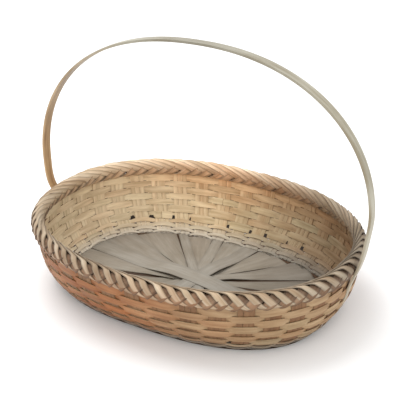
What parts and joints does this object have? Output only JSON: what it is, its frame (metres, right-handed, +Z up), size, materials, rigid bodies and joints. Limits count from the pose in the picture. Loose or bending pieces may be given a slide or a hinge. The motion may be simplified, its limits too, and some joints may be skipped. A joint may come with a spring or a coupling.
{
  "type": "winnowing basket",
  "caption": "Oval open basket woven from flat bamboo splints, with a star base, a plaited border and one bent strip handle along its length.",
  "frame": {"origin": "under the middle of the floor, on the surface that the basket stands on", "axes": "+X along the basket's length and the handle's span, +Y across it, +Z up out of the open top"},
  "size_m": [0.4484, 0.3312, 0.3105],
  "materials": {
    "base_splint": "weathered split bamboo, greyed, matt",
    "weft": "dry split bamboo, tan, satin",
    "border": "plaited bamboo strands, weathered tan, satin",
    "hoop": "split bamboo, hidden",
    "handle": "thick bamboo strip, pale skin side outwards, satin"
  },
  "bodies": {
    "root": {"base_splint_01": "base_splint", "base_splint_02": "base_splint", "base_splint_03": "base_splint", "base_splint_04": "base_splint", "base_splint_05": "base_splint", "base_splint_06": "base_splint", "base_splint_07": "base_splint", "base_splint_08": "base_splint", "base_splint_09": "base_splint", "base_splint_10": "base_splint", "base_splint_11": "base_splint", "base_splint_12": "base_splint", "weft_row_01": "weft", "weft_row_02": "weft", "weft_row_03": "weft", "weft_row_04": "weft", "weft_row_05": "weft", "weft_row_06": "weft", "weft_row_07": "weft", "weft_row_08": "weft", "weft_row_09": "weft", "weft_row_10": "weft", "weft_row_11": "weft", "border_plait": "border", "rim_core_hoop": "hoop", "handle_strip": "handle"}
  },
  "joints": []
}
